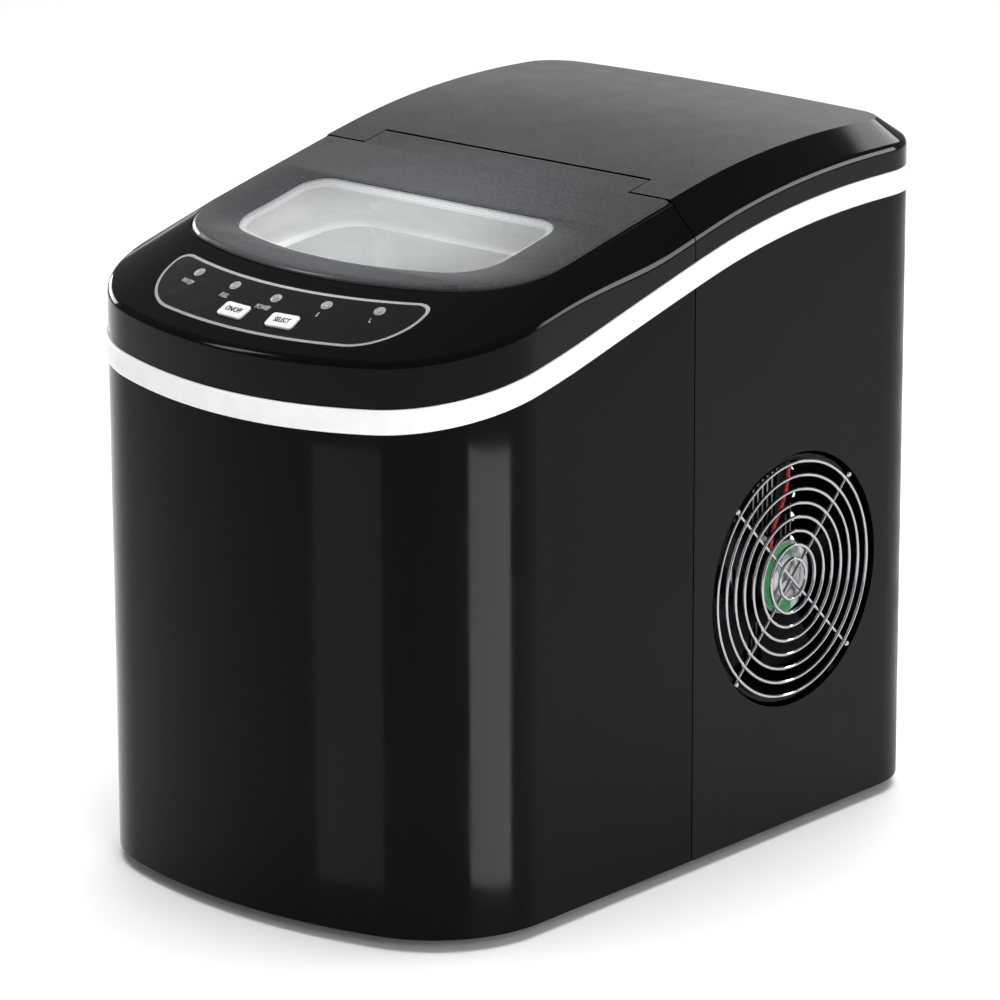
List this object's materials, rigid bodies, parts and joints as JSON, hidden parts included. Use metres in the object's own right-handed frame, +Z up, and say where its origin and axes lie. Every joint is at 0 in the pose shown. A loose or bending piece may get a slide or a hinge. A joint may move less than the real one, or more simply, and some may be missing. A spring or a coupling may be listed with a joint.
{
  "type": "countertop ice maker",
  "caption": "Countertop bullet-ice maker with bulged black body, silver band, sloped control panel, hinged lid with window, lift-out basket, tilting tray and side fan.",
  "frame": {"origin": "on the floor under the middle of the trim band, which is the middle of the overall width and depth", "axes": "+Z up; the control panel faces -Y; the fan side faces +X"},
  "size_m": [0.241, 0.357, 0.33],
  "materials": {
    "gloss_black": "glossy moulded ABS",
    "satin_black": "satin moulded ABS",
    "charcoal": "fine-textured charcoal ABS",
    "silver_trim": "silver-white satin trim",
    "clear_window": "clear moulded window",
    "key_grey": "satin light grey",
    "lens_grey": "frosted grey lens",
    "white_liner": "smooth white liner",
    "basket_grey": "translucent grey",
    "foam_white": "expanded foam",
    "rubber": "matte black rubber",
    "steel": "plain sheet steel",
    "chrome_wire": "bright plated wire",
    "black_steel": "black enamel",
    "aluminium": "satin",
    "nickel_plate": "nickel plate",
    "copper": "bare copper tube",
    "green_board": "printed board",
    "clear_silicone": "clear silicone hose"
  },
  "bodies": {
    "housing": {"base_pan": "steel", "compressor": "black_steel", "compressor_mount_1": "rubber", "compressor_mount_2": "rubber", "compressor_mount_3": "rubber", "condenser": "aluminium", "control_board": "green_board", "control_panel": "gloss_black", "cord_gland": "rubber", "cover_screw_1": "steel", "cover_screw_2": "steel", "cover_screw_3": "steel", "cover_screw_4": "steel", "discharge_tube": "copper", "evaporator": "nickel_plate", "evaporator_bracket": "steel", "fan_guard": "chrome_wire", "fan_motor": "steel", "fan_shroud": "satin_black", "foot_front_left": "rubber", "foot_front_right": "rubber", "foot_rear_left": "rubber", "foot_rear_right": "rubber", "front_frame": "gloss_black", "front_shell": "gloss_black", "hinge_pin_left": "steel", "hinge_pin_right": "steel", "ice_sensor_left": "satin_black", "ice_sensor_right": "satin_black", "inner_tub": "white_liner", "mechanism_side_left": "white_liner", "mechanism_side_right": "white_liner", "power_board": "green_board", "pump_tube": "clear_silicone", "rear_shell": "satin_black", "rear_top_cover": "gloss_black", "status_lens_1": "lens_grey", "status_lens_2": "lens_grey", "status_lens_3": "lens_grey", "status_lens_4": "lens_grey", "status_lens_5": "lens_grey", "suction_tube": "copper", "tray_motor": "steel", "trim_band": "silver_trim", "tub_insulation": "foam_white", "water_pump": "satin_black"},
    "lid": {"lid": "charcoal", "lid_window": "clear_window"},
    "basket": {"ice_basket": "basket_grey"},
    "tray": {"water_tray": "white_liner"},
    "shovel": {"ice_shovel": "basket_grey"},
    "fan": {"fan_rotor": "aluminium"},
    "power_key": {"power_button": "key_grey"},
    "select_key": {"select_button": "key_grey"},
    "drain_plug": {"drain_plug": "rubber"}
  },
  "joints": [
    {"name": "lid_hinge", "type": "hinge", "parent": "housing", "child": "lid", "pos_m": [0, 0.0127, 0.31524], "axis": [-1, 0, 0], "range_deg": [0, 75]},
    {"name": "power_press", "type": "slide", "parent": "housing", "child": "power_key", "axis": [0.0168, 0.4448, -0.8955], "range_m": [0, 0.0008], "stiffness_N_per_m": 400, "springref_m": -0.001},
    {"name": "select_press", "type": "slide", "parent": "housing", "child": "select_key", "axis": [-0.0168, 0.4448, -0.8955], "range_m": [0, 0.0008], "stiffness_N_per_m": 400, "springref_m": -0.001},
    {"name": "basket_lift", "type": "slide", "parent": "housing", "child": "basket", "axis": [0, 0, 1], "range_m": [0, 0.01]},
    {"name": "tray_tilt", "type": "hinge", "parent": "housing", "child": "tray", "pos_m": [0, 0.042, 0.238], "axis": [1, 0, 0], "range_deg": [0, 75]},
    {"name": "shovel_swing", "type": "hinge", "parent": "housing", "child": "shovel", "pos_m": [0, 0.008, 0.278], "axis": [-1, 0, 0], "range_deg": [0, 40]},
    {"name": "fan_spin", "type": "hinge", "parent": "housing", "child": "fan", "pos_m": [0.109, 0.0744, 0.1244], "axis": [1, 0, 0], "continuous": true},
    {"name": "drain_pull", "type": "slide", "parent": "housing", "child": "drain_plug", "axis": [-1, 0, 0], "range_m": [0, 0.013]}
  ],
  "couplings": [
    {"joint": "shovel_swing", "follows": "tray_tilt", "ratio": 0.53333}
  ]
}
